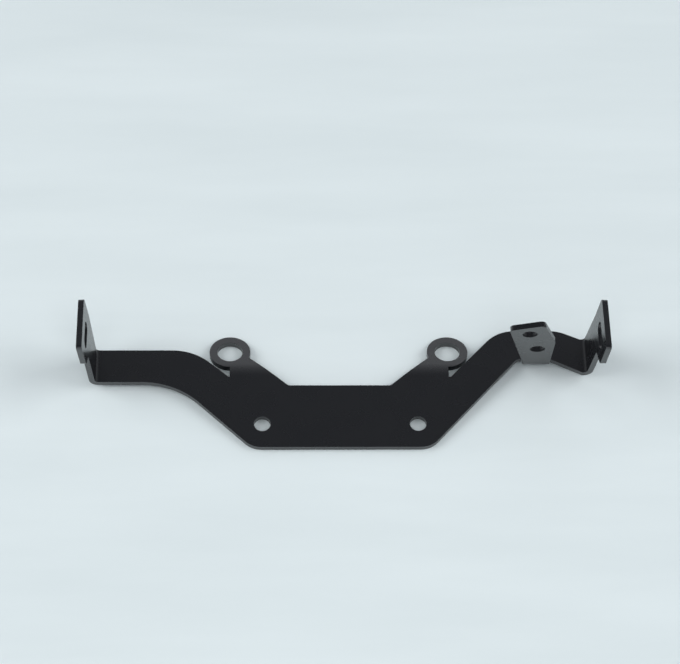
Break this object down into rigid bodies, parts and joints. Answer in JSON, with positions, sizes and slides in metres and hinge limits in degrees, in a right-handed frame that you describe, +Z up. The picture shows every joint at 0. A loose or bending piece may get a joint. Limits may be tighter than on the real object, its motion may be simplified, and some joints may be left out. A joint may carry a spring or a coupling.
{
  "type": "instrument bracket",
  "caption": "Folded sheet-steel bracket: a plate with two angled arms, slotted flanges folded up at their ends, a drilled upright tab and ring ears folded down behind the plate.",
  "frame": {"origin": "midway between the plate's two holes, on the plate's underside", "axes": "+X along the plate to the arm with the tab, +Y to the back, where the ears are, +Z up, square to the plate"},
  "size_m": [0.2018, 0.0524, 0.0427],
  "materials": {
    "coated_steel": "semi-gloss black powder coat"
  },
  "bodies": {
    "root": {"bracket": "coated_steel"}
  },
  "joints": []
}
